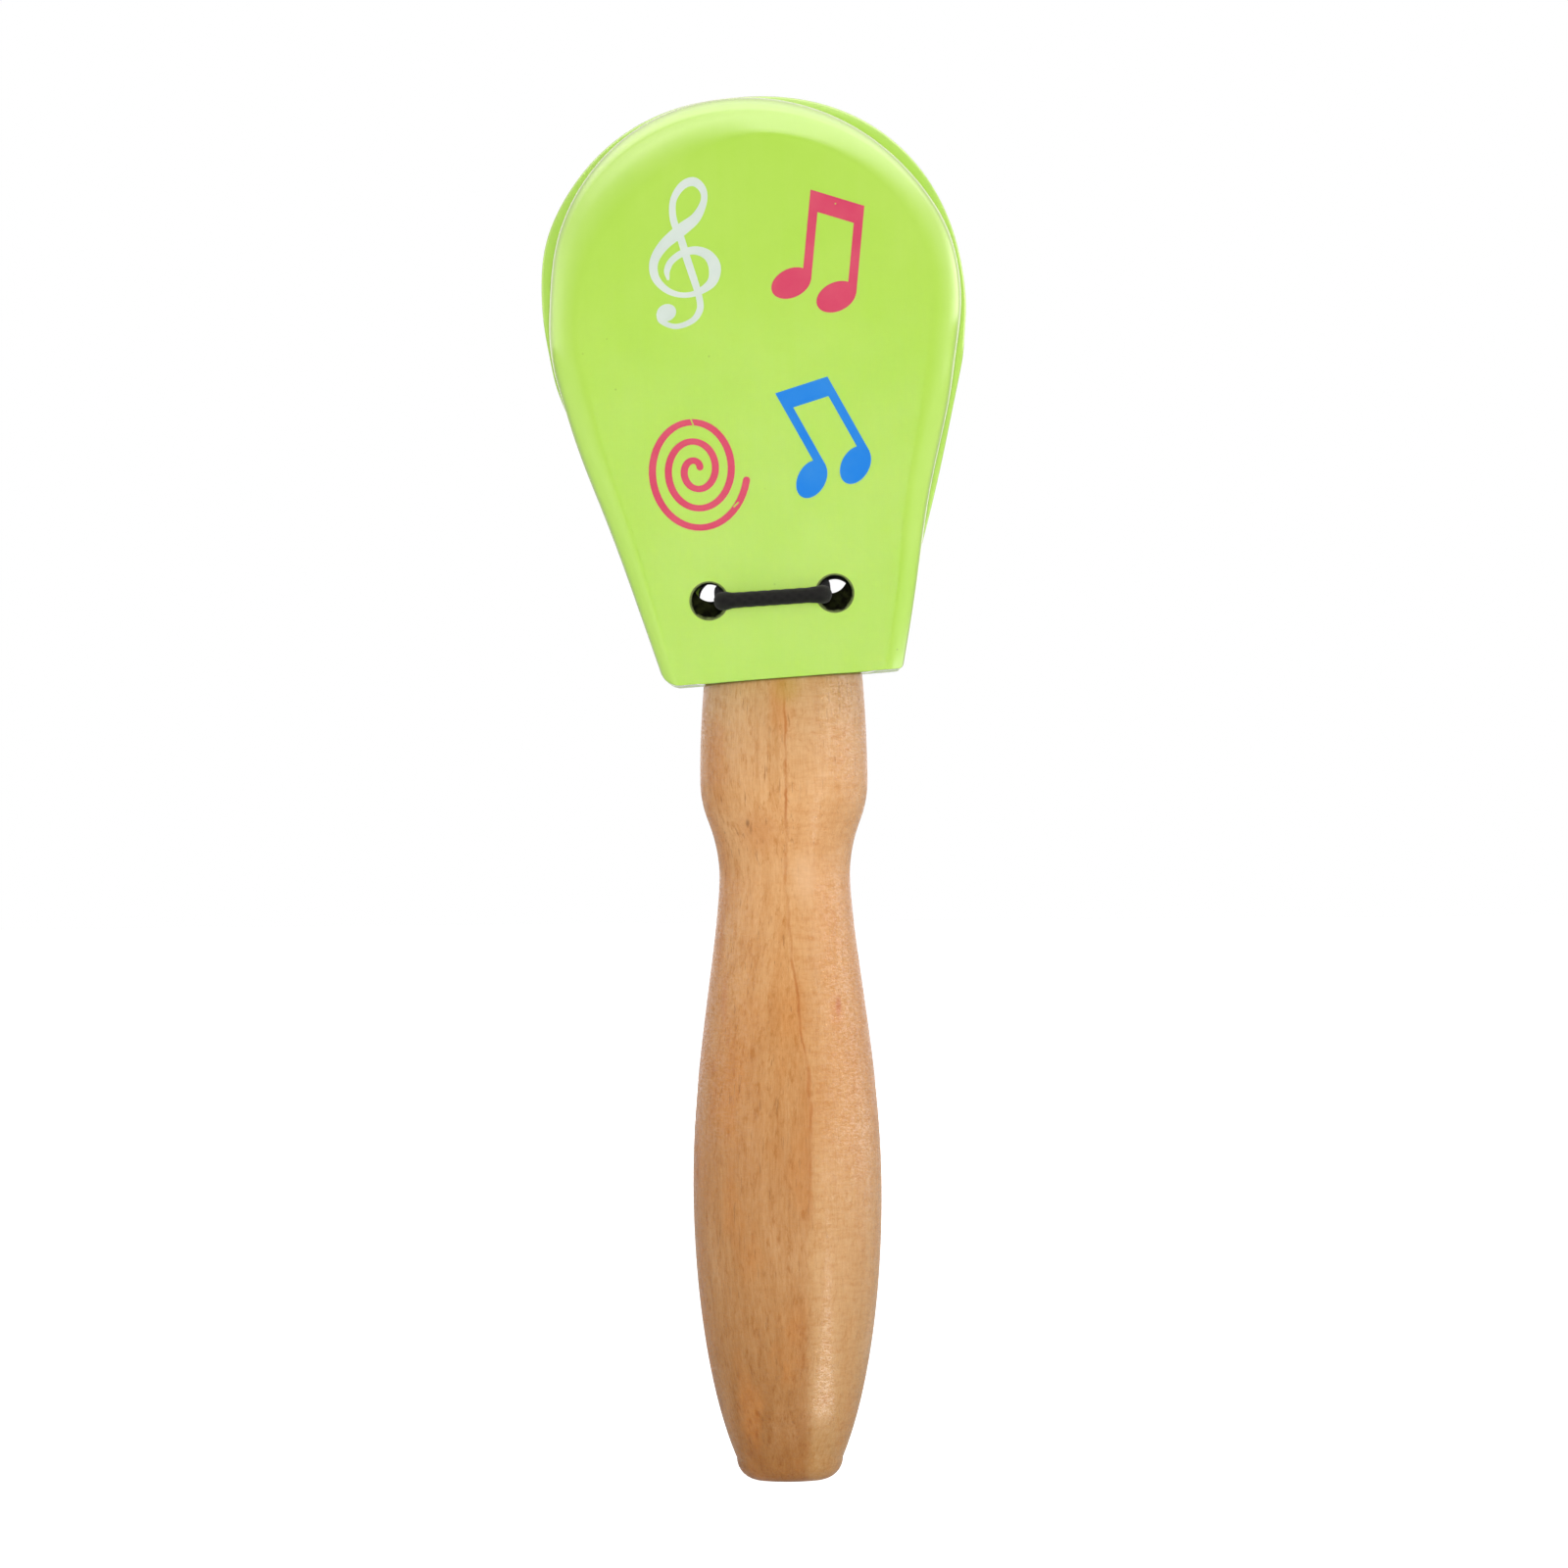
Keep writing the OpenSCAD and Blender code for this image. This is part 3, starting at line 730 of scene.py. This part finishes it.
def makeClapper(name, side):
    s = clapperSize
    rings = [
        atDepth(boardOutline(s, s["rim"], s["rim"], s["rim"]), 0),
        atDepth(boardOutline(s), s["rim"]),
    ]
    crownWidth, border = borderRings(s)
    facetDrop = s["facetWidth"] * math.tan(math.radians(s["facetSlope"]))

    def sloped(outline, depth, drop):
        # the facet runs down further at the upper left
        reach = s["leftDrop"] * min(1, drop / facetDrop) ** 2
        line = []
        for x, z in outline:
            away = (math.atan2(z - s["wideHeight"], x) - s["leftTurn"]) / s["leftReach"]
            line.append((x, depth - reach * math.exp(-away ** 2), z))
        return line

    for drop, crownIn, sideIn in border:
        share = crownIn / crownWidth
        depth = s["thickness"] - drop
        hang = s["footHang"] * ease(max(0, (depth - s["hangFrom"]) / (s["thickness"] - s["hangFrom"])))
        rings.append(sloped(boardOutline(
            s, crownIn, sideIn, sideIn * s["footShare"], mix(s["skew"], s["faceSkew"], share ** 2),
            mix(1, s["facePeak"], share ** 3), hang), depth, drop))
    place = headPlace @ Matrix.Translation((0, side * s["innerAt"], s["footAt"]))
    place = place @ Matrix.Diagonal((1, side, 1, 1))
    bm = bmesh.new()
    loft(bm, rings)
    made = piece(name, bm, place, [paint, holeWall])

    # the hollow is cut with a slice of a ball
    ball = ((s["hollowWidth"] / 2) ** 2 + s["hollowDepth"] ** 2) / (2 * s["hollowDepth"])
    sliceTurn, sliceSteps, ballSteps = 0.5, 40, 96
    lens = []
    for i in range(sliceSteps + 1):
        a = sliceTurn * i / sliceSteps
        lens.append((ball * math.sin(a), ball * math.cos(a) - ball + s["hollowDepth"]))
    bm = bmesh.new()
    turned(bm, lens + [(0, lens[-1][1])], ballSteps)
    stand = Matrix.Translation((0, 0, s["wideHeight"])) @ Matrix.Rotation(-math.pi / 2, 4, "X")
    hollow = piece(name + "_hollow", bm, place @ stand, [paint])

    # the heel's arc starts and ends just outside the board, so that the cut is never tangent to a face
    r = s["heelRound"]
    middle = r - s["heelOut"]
    corner = [(-past, r)]
    for i in range(s["heelSteps"] + 1):
        a = mix(math.pi, math.pi * 1.5, i / s["heelSteps"])
        corner.append((middle + r * math.cos(a), middle + r * math.sin(a)))
    corner += [(r, -past), (-past, -past)]
    bm = bmesh.new()
    loft(bm, [[(x, depth, z) for depth, z in corner] for x in (-s["footWidth"], s["footWidth"])])
    heel = piece(name + "_heel", bm, place, [paint])

    # the holes broke out a little more at their lower edge
    h, face = cordHoles, s["innerAt"] + s["thickness"]
    r, low, high = h["diameter"] / 2, side * (face - h["lipDeep"]), side * (face + past)
    mouth = [(0, low), (r - h["lipInset"], low), (r + h["lipWide"], high), (0, high)]
    lower = [(x, z - h["lipLower"]) for x, z in clapperHoles[side]]
    inner, outer = sorted((side * s["innerAt"], side * face))
    cutAway(made, [hollow, heel, drill(name + "_drill", inner, outer, clapperHoles[side]),
                   roundCutter(name + "_mouth", mouth, lower)])
    return made


paddle = makePaddle()
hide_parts("paddle")
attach(paddle, "handle")
frontClapper = makeClapper("printed_clapper", -1)
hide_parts("front_clapper")
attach(frontClapper, "front_clapper")
rearClapper = makeClapper("plain_clapper", 1)
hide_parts("rear_clapper")
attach(rearClapper, "rear_clapper")
print("boards cut and painted")


# printed figures, drawn in millimetres on the front clapper's face: X across, Z above the shoulder

inkFilm = dict(thickness=0.04, sink=0.02, faceAt=15.2)
noteSize = dict(
    beamLength=7.36, beamSlope=-21.3, beamThick=2.6, stemLean=-9.7, stemWidth=1.18, stemLength=11.5,
    headLong=2.74, headShort=1.87, headTilt=22, headDrop=0.45, headBack=2.0,
)


def smoothLine(points, parts=8):
    # smooth cubic curve through points of any size
    line = []
    ends = [points[0]] + list(points) + [points[-1]]
    for a, b, c, d in zip(ends, ends[1:], ends[2:], ends[3:]):
        for i in range(parts):
            t = i / parts
            line.append(tuple(
                0.5 * (2 * q + (r - p) * t + (2 * p - 5 * q + 4 * r - s) * t * t
                       + (3 * q - p - 3 * r + s) * t ** 3)
                for p, q, r, s in zip(a, b, c, d)))
    return line + [tuple(points[-1])]


def discLoop(x, z, long, short=None, tilt=0.0, steps=40):
    short = long if short is None else short
    c, s = math.cos(math.radians(tilt)), math.sin(math.radians(tilt))
    loop = []
    for i in range(steps):
        a = math.tau * i / steps
        u, v = long * math.cos(a), short * math.sin(a)
        loop.append((x + u * c - v * s, z + u * s + v * c))
    return loop


def strokeLoops(line):
    # a pen stroke of changing width: one quad for each step, and round ends
    left, right = [], []
    for i, (x, z, width) in enumerate(line):
        before, after = line[max(i - 1, 0)], line[min(i + 1, len(line) - 1)]
        way = Vector((after[0] - before[0], after[1] - before[1])).normalized() * width / 2
        left.append((x - way.y, z + way.x))
        right.append((x + way.y, z - way.x))
    quads = [[right[i], right[i + 1], left[i + 1], left[i]] for i in range(len(line) - 1)]
    return quads + [discLoop(x, z, width / 2, steps=16) for x, z, width in (line[0], line[-1])]


def printFigure(name, ink, loops, bare=()):
    # overlapping loops become one film; loops in bare are left without ink
    verts, faces = [], []
    for loop in list(loops) + list(bare):
        area = sum(a[0] * b[1] - b[0] * a[1] for a, b in zip(loop, loop[1:] + loop[:1]))
        loop = loop if area > 0 else loop[::-1]
        faces.append(list(range(len(verts), len(verts) + len(loop))))
        verts += [Vector(p) for p in loop]
    points, _, cells, _, _, owners = delaunay_2d_cdt(verts, [], faces, 1, 1e-4, True)
    bm = bmesh.new()
    corners = [bm.verts.new((x, -inkFilm["faceAt"], z)) for x, z in points]
    for cell, owner in zip(cells, owners):
        if owner and max(owner) < len(loops):
            bm.faces.new([corners[i] for i in cell])
    bmesh.ops.delete(bm, geom=[v for v in bm.verts if not v.link_faces], context="VERTS")
    bmesh.ops.dissolve_limit(bm, angle_limit=0.01, verts=bm.verts[:], edges=bm.edges[:])
    bmesh.ops.recalc_face_normals(bm, faces=bm.faces[:])
    base = bm.faces[:]
    raised = bmesh.ops.extrude_face_region(bm, geom=base)
    for item in raised["geom"]:
        if isinstance(item, bmesh.types.BMVert):
            item.co.y -= inkFilm["thickness"]
    for vert in bm.verts:
        if vert.co.y > -inkFilm["faceAt"] - inkFilm["thickness"] / 2:
            vert.co.y += inkFilm["sink"]
    made = piece(name, bm, headPlace, [ink], 20)
    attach(made, "front_clapper")
    return made


def beamedNotes(x, z, turn, size=1.0):
    # two notes under one beam, hung from the left end of the beam's upper edge and turned about it
    s = noteSize
    across = Matrix.Rotation(math.radians(turn), 2)
    slope, lean = math.radians(s["beamSlope"]), math.radians(s["stemLean"])
    stemWay = Vector((math.sin(lean), -math.cos(lean)))
    beamWay = Vector((math.cos(slope), math.sin(slope)))
    stemStep = beamWay * (s["stemWidth"] / (beamWay.x * stemWay.y - beamWay.y * stemWay.x) * -1)

    def at(point):
        moved = across @ point * size
        return (x + moved.x, z + moved.y)

    left, right = Vector((0, 0)), beamWay * s["beamLength"]
    thick = stemWay * s["beamThick"]
    loops = [[at(left), at(left + thick), at(right + thick), at(right)]]
    for outer, inner in ((left, left + stemStep), (right - stemStep, right)):
        foot = stemWay * s["stemLength"]
        loops.append([at(outer), at(outer + foot), at(inner + foot), at(inner)])
        endX, endZ = at((outer + inner) / 2 + foot)
        loops.append(discLoop(endX, endZ, s["stemWidth"] / 2 * size))
        below = stemWay * (s["stemLength"] + s["headDrop"])
        headX, headZ = at((outer + inner) / 2 + below - Vector((s["headBack"], 0)))
        long, short = s["headLong"] * size, s["headShort"] * size
        loops.append(discLoop(headX, headZ, long, short, turn + s["headTilt"], 48))
    return loops


def clefStrokes():
    # one pen line from the ball at the foot, up the stem, round the top loop and into the curl
    line = [
        (-12.4, 48.6, 0.9), (-12.2, 47.7, 0.7), (-10.4, 46.9, 0.68), (-8.2, 47.5, 0.76), (-7.1, 48.9, 0.88),
        (-7.1, 50.6, 0.86), (-7.55, 52.7, 0.94), (-8.25, 55.5, 1.0), (-8.9, 58.4, 0.98), (-9.65, 60.8, 0.92),
        (-9.5, 63.3, 0.85), (-8.25, 65.1, 1.02), (-6.7, 65.6, 1.18), (-5.6, 64.6, 0.98), (-5.5, 63.0, 0.85),
        (-6.7, 60.9, 1.3), (-8.8, 59.4, 1.65), (-11.2, 57.6, 1.4), (-12.6, 55.6, 1.16), (-12.6, 53.5, 1.06),
        (-11.3, 51.8, 0.85), (-9.4, 50.95, 0.7), (-7.3, 51.1, 0.78), (-5.3, 52.3, 1.25), (-4.75, 54.2, 1.6),
        (-5.45, 55.8, 1.36), (-7.0, 56.6, 1.1), (-8.8, 56.4, 0.92), (-10.3, 55.5, 0.85), (-11.0, 54.3, 0.8),
        (-10.95, 53.2, 0.4),
    ]
    return strokeLoops(smoothLine(line)) + [discLoop(-11.5, 48.8, 1.3, 1.1, 20)]


def spiralStrokes():
    s = dict(
        x=-9.25, z=28.0, startRadius=1.21, growth=2.53, squeeze=0.825, begin=-62, end=977,
        width=0.82, swell=0.12, steps=150,
    )
    line = []
    for i in range(s["steps"] + 1):
        degrees = mix(s["begin"], s["end"], i / s["steps"])
        a = math.radians(90 + degrees)
        radius = s["startRadius"] + s["growth"] * degrees / 360
        width = s["width"] + s["swell"] * abs(math.cos(a))
        line.append((s["x"] + s["squeeze"] * radius * math.cos(a), s["z"] + radius * math.sin(a), width))
    return strokeLoops(line)


printFigure("print_clef", whiteInk, clefStrokes())
printFigure("print_pink_notes", pinkInk, beamedNotes(8.5, 63.4, 0), [discLoop(11.6, 61.3, 0.1, steps=8)])
printFigure("print_blue_notes", blueInk, beamedNotes(1.85, 37.2, 34.8, 0.975))
spiralGaps = (((-9.5, 35.0, 0.16), (-9.05, 33.6, 0.16)), ((-4.7, 22.8, 0.2), (-4.0, 23.4, 0.2)))
printFigure("print_spiral", pinkInk, spiralStrokes(), [strokeLoops(gap)[0] for gap in spiralGaps])
print("figures printed")


# the elastic cord: one loop through the holes, in a front and a rear half, and a knot on the back

cordSize = dict(
    diameter=2.0, legX=6.8, runAt=16.3, bend=1.3, flat=0.85, flatReach=3, lift=1.5, liftStart=5, liftEnd=13,
    spread=0.22, spreadReach=2.2, drop=0.2, tilt=-0.009, step=0.15, legSteps=24, bendSteps=12,
    sides=30, strands=12, pitch=1.6, relief=0.025, swell=1.6, stretchFrom=6.5, stretchTo=14.5,
)


def sweepCord(bm, path, braidLayer, radius, squeeze=None):
    # rings across a smooth path, pressed out by the braid's crossing strands
    s = cordSize
    loops, along = [], 0.0
    up = Vector((0, 0, 1))
    for i, point in enumerate(path):
        ahead, behind = path[min(i + 1, len(path) - 1)], path[max(i - 1, 0)]
        way = (ahead - behind).normalized()
        up = (up - way * up.dot(way)).normalized()
        thin, tall = squeeze(point) if squeeze else (1, 1)
        out = way.cross(up) * thin
        if i:
            along += (point - path[i - 1]).length
        verts = []
        for j in range(s["sides"]):
            a = math.tau * j / s["sides"]
            twist = math.tau * along / s["pitch"]
            left, right = math.cos(s["strands"] / 2 * a + twist), math.cos(s["strands"] / 2 * a - twist)
            weave = 0.5 + 0.5 * max(left, right)
            reach = radius - s["relief"] + s["relief"] * s["swell"] * weave
            vert = bm.verts.new(point + (up * tall * math.cos(a) + out * math.sin(a)) * reach)
            vert[braidLayer] = weave
            verts.append(vert)
        loops.append(closedLoop(bm, verts))
    joinLoops(bm, loops)


def evenPath(points, step):
    # points of a polyline at equal steps
    line, carried = [points[0]], 0.0
    for a, b in zip(points, points[1:]):
        span = (b - a).length
        while carried + span >= step:
            a = a + (b - a) * ((step - carried) / span)
            span = (b - a).length
            carried = 0.0
            line.append(a)
        carried += span
    return line + [points[-1]]


def legLift(depth):
    # inside the boards the legs rise to the paddle's higher holes
    s = cordSize
    return s["lift"] * ease(min(1, max(0, (s["liftEnd"] - depth) / (s["liftEnd"] - s["liftStart"]))))


def legSqueeze(point):
    # pulled against the inner wall of its hole, the elastic lies flatter
    s = cordSize
    inHole = ease(min(1, max(0, (s["runAt"] - abs(point.y)) / s["flatReach"])))
    bent = ease(min(1, max(0, 1 - abs(s["legX"] - abs(point.x)) / s["spreadReach"])))
    return mix(1, s["flat"], inHole), 1 + s["spread"] * bent * (1 - inHole)


def halfLoop(side):
    # from the middle of the paddle out to a clapper's face, across and back
    s = cordSize
    r, legSteps, bendSteps = s["bend"], s["legSteps"], s["bendSteps"]
    legEnd = s["runAt"] - r
    points = [Vector((s["legX"], side * mix(0, legEnd, i / legSteps), 0)) for i in range(legSteps)]
    for sign, start in ((1, 0.0), (-1, math.pi / 2)):
        for i in range(bendSteps + 1):
            a = start + math.pi / 2 * i / bendSteps
            x = sign * (s["legX"] - r) + r * math.cos(a)
            points.append(Vector((x, side * (legEnd + r * math.sin(a)), 0)))
    points += [Vector((-s["legX"], side * mix(legEnd, 0, i / legSteps), 0)) for i in range(1, legSteps + 1)]
    for point in points:
        point.z += legLift(abs(point.y)) + s["tilt"] * point.x - s["drop"]
    return evenPath(points, s["step"])


cordPlace = headPlace @ Matrix.Translation((cordHoles["shift"], 0, cordHoles["height"]))


def makeCord(name, paths, radius, squeeze=None):
    bm = bmesh.new()
    braidLayer = bm.verts.layers.float.new("braid")
    for path in paths:
        sweepCord(bm, path, braidLayer, radius, squeeze)
    return piece(name, bm, cordPlace, [elastic], 60)


def stretchCord(made):
    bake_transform(made)


frontCord = makeCord("elastic_cord_front", [halfLoop(-1)], cordSize["diameter"] / 2, legSqueeze)
stretchCord(frontCord)
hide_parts("elastic_cord")
rearCord = makeCord("elastic_cord_rear", [halfLoop(1)], cordSize["diameter"] / 2, legSqueeze)
stretchCord(rearCord)

knotSize = dict(
    at=17.45, radius=0.78, spread=0.56, flat=0.5, steps=240,
    tail=6, tailRoot=2.1, splay=38, tailBow=0.9, tailSag=0.5, tailSteps=24, tailRadius=0.95,
)


def knotPath():
    s = knotSize
    points = []
    for i in range(s["steps"] + 1):
        t = math.tau * i / s["steps"]
        points.append(Vector((
            s["spread"] * (math.sin(t) + 2 * math.sin(2 * t)), s["at"] - s["flat"] * math.sin(3 * t),
            s["spread"] * (math.cos(t) - 2 * math.cos(2 * t)))))
    return evenPath(points, cordSize["step"])


def tailPath(side):
    s = knotSize
    a = math.radians(s["splay"])
    points = []
    for i in range(s["tailSteps"] + 1):
        t = i / s["tailSteps"]
        reach = t * (s["tailRoot"] + s["tail"])
        x = side * reach * math.sin(a) * mix(s["tailBow"], 1.0, t)
        points.append(Vector((x, s["at"] - s["tailSag"] * math.sin(math.pi * t), -reach * math.cos(a))))
    return evenPath(points, cordSize["step"])


knot = makeCord("elastic_knot", [knotPath()], knotSize["radius"])
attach(knot, "rear_clapper")
for side, label in ((-1, "left"), (1, "right")):
    tail = makeCord("elastic_tail_" + label, [tailPath(side)], knotSize["tailRadius"])
    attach(tail, "rear_clapper")
print("cord threaded and knotted")


# stage, lights and camera

stageSize = dict(
    floorRadius=4.0, floorZ=cadBox[0][2], floorGlow=0.3, floorSeen=0.75,
    glow=0.25, topGlow=0.06, leftGlow=0.45, rightGlow=0.75, topBehind=0.25,
    shine=0.9, shineFront=0.02, shineBack=0.6, shineTint=(1, 0.91, 0.93, 1),
)
# where each part of the world's light begins and is full, along an axis of the direction
worldParts = dict(
    front=("Y", -0.97, -0.75), back=("Y", 0.5, 0.97), backLow=("Z", -0.25, -0.02),
    sideDepth=("Y", 0.7, 0.2), sideHeight=("Z", 0.6, 0.25), topDepth=("Y", 0.65, 0), height=("Z", 0.15, 0.75),
    rightGlow=("X", 0.4, 0.95), leftGlow=("X", -0.4, -0.95),
)
# what gloss sees: the axis, where a soft panel begins and is full, its strength
panels = (("Z", 0.38, 0.8, 2.9), ("X", 0.6, 0.98, 3.4), ("X", -0.5, -0.95, 1.0))


def makeFloor():
    bm = bmesh.new()
    bmesh.ops.create_circle(bm, cap_ends=True, segments=96, radius=stageSize["floorRadius"])
    mesh = bpy.data.meshes.new("floor")
    bm.transform(Matrix.Translation((0, 0, stageSize["floorZ"])))
    bm.to_mesh(mesh)
    bm.free()
    made = addObject("floor", mesh)
    material, desk, shader = startMaterial("whiteFloor")
    # the paper is white to the camera, and throws less light than that on the handle
    seen = desk.add("ShaderNodeLightPath").outputs["Is Camera Ray"]
    glow = desk.maths("MULTIPLY_ADD", seen, stageSize["floorSeen"], stageSize["floorGlow"])
    desk.feed(shader, Base_Color=(0.6, 0.6, 0.6, 1), Roughness=0.9, Specular_IOR_Level=0,
              Emission_Color=(1, 1, 1, 1), Emission_Strength=glow)
    mesh.materials.append(material)


def softBox(name, place, aim, size, power, turn=0.0, diffuse=True, gloss=True):
    light = bpy.data.lights.new(name, "AREA")
    light.shape = "RECTANGLE"
    light.size, light.size_y = size
    light.energy = power
    made = addObject(name, light)
    made.location = place
    made.rotation_euler = (Vector(aim) - Vector(place)).to_track_quat("-Z", "Y").to_euler()
    made.rotation_euler.z += math.radians(turn)
    made.visible_camera = False
    made.visible_diffuse, made.visible_glossy = diffuse, gloss
    return made


def makeWorld():
    # white all round for the camera, dim for diffuse light, panels above and beside for gloss
    world = bpy.data.worlds.new("studio")
    bpy.context.scene.world = world
    world.use_nodes = True
    desk = NodeDesk(world.node_tree)
    way = desk.axes(desk.add("ShaderNodeTexCoord").outputs["Generated"])

    def part(name, toLow=0.0, toHigh=1.0, curve="LINEAR"):
        axis, low, high = worldParts[name]
        return desk.spread(way[axis], low, high, toLow, toHigh, curve)

    shine = part("front", stageSize["shineFront"], stageSize["shine"])
    behind = desk.maths("MULTIPLY", part("back"), part("backLow"))
    shine = desk.maths("MULTIPLY_ADD", behind, stageSize["shineBack"], shine)
    beside = desk.maths("MULTIPLY", part("sideDepth"), part("sideHeight"))
    above = part("topDepth", stageSize["topBehind"])
    for axis, low, high, strength in panels:
        panel = desk.spread(way[axis], low, high, 0, strength, "SMOOTHSTEP")
        panel = desk.maths("MULTIPLY", panel, beside if axis == "X" else above)
        shine = desk.maths("ADD", shine, panel)
    path = desk.add("ShaderNodeLightPath").outputs
    glossy, seen = path["Is Glossy Ray"], path["Is Camera Ray"]
    rest = part("height", stageSize["glow"], stageSize["topGlow"])
    for side in ("rightGlow", "leftGlow"):
        rest = desk.maths("ADD", rest, part(side, 0, stageSize[side], "SMOOTHSTEP"))
    rest = desk.maths("MULTIPLY", desk.maths("SUBTRACT", 1.0, glossy), rest)
    glow = desk.maths("MULTIPLY_ADD", shine, glossy, rest)
    tint = desk.blend(glossy, (1, 1, 1, 1), stageSize["shineTint"])
    desk.feed(world.node_tree.nodes["Background"], Color=tint, Strength=desk.maths("MAXIMUM", glow, seen))


def makeCamera():
    look = dict(distance=1.0, frameWidth=0.208, centre=(0.0000126, 0.053302), roll=0.514, sensor=36)
    lens = bpy.data.cameras.new("camera")
    lens.sensor_fit = "HORIZONTAL"
    lens.sensor_width = look["sensor"]
    lens.lens = look["sensor"] * look["distance"] / look["frameWidth"]
    lens.clip_start, lens.clip_end = 0.05, 20
    made = addObject("camera", lens)
    turn = Matrix.Rotation(math.radians(90), 4, "X") @ Matrix.Rotation(-math.radians(look["roll"]), 4, "Z")
    made.matrix_world = Matrix.Translation((look["centre"][0], -look["distance"], look["centre"][1])) @ turn
    bpy.context.scene.camera = made


makeFloor()
makeWorld()
# name, place, aim, size and power of the soft lights, which gloss doesn't see
softLights = (
    ("front", (0, -1.3, 0.12), (0, 0, 0.06), (0.12, 0.12), 7.5),
    ("keyRight", (0.7, -0.75, 0.5), (0, 0, 0.06), (0.5, 0.7), 1.6),
    ("fillLeft", (-0.6, -0.9, 0.3), (0, 0, 0.06), (0.5, 0.6), 0.8),
    ("rear", (0.1, 1.3, 0.3), (0, 0, 0.06), (0.5, 0.5), 7),
    ("fillLow", (0.1, -0.6, -0.02), (0, 0, 0.03), (0.6, 0.2), 0.35),
)
for light in softLights:
    softBox(*light, gloss=False)
# a low white card on the right, seen only in the gloss
softBox("cardRight", (0.34, -0.07, -0.005), (0, -0.03, 0.05), (0.7, 0.06), 0.2, diffuse=False)
# a long lit strip on the table shines on the handle alone, as the soft streak on the lower grip
strip = dict(way=50, near=0.02, far=0.4, width=0.014, lift=0.002, power=0.11)
stripWay = Vector((math.sin(math.radians(strip["way"])), -math.cos(math.radians(strip["way"])), 0))
stripAt = stripWay * (strip["near"] + strip["far"]) / 2 + Vector((0, 0, stageSize["floorZ"] + strip["lift"]))
stripSize = (strip["far"] - strip["near"], strip["width"])
stripLight = softBox("strip", stripAt, stripAt + Vector((0, 0, 1)), stripSize, strip["power"],
                     strip["way"] - 90, diffuse=False)
stripLight.light_linking.receiver_collection = bpy.data.collections.new("stripTakers")
stripLight.light_linking.receiver_collection.objects.link(handle)
makeCamera()
bpy.context.scene.view_settings.view_transform = "Standard"
print("stage lit")
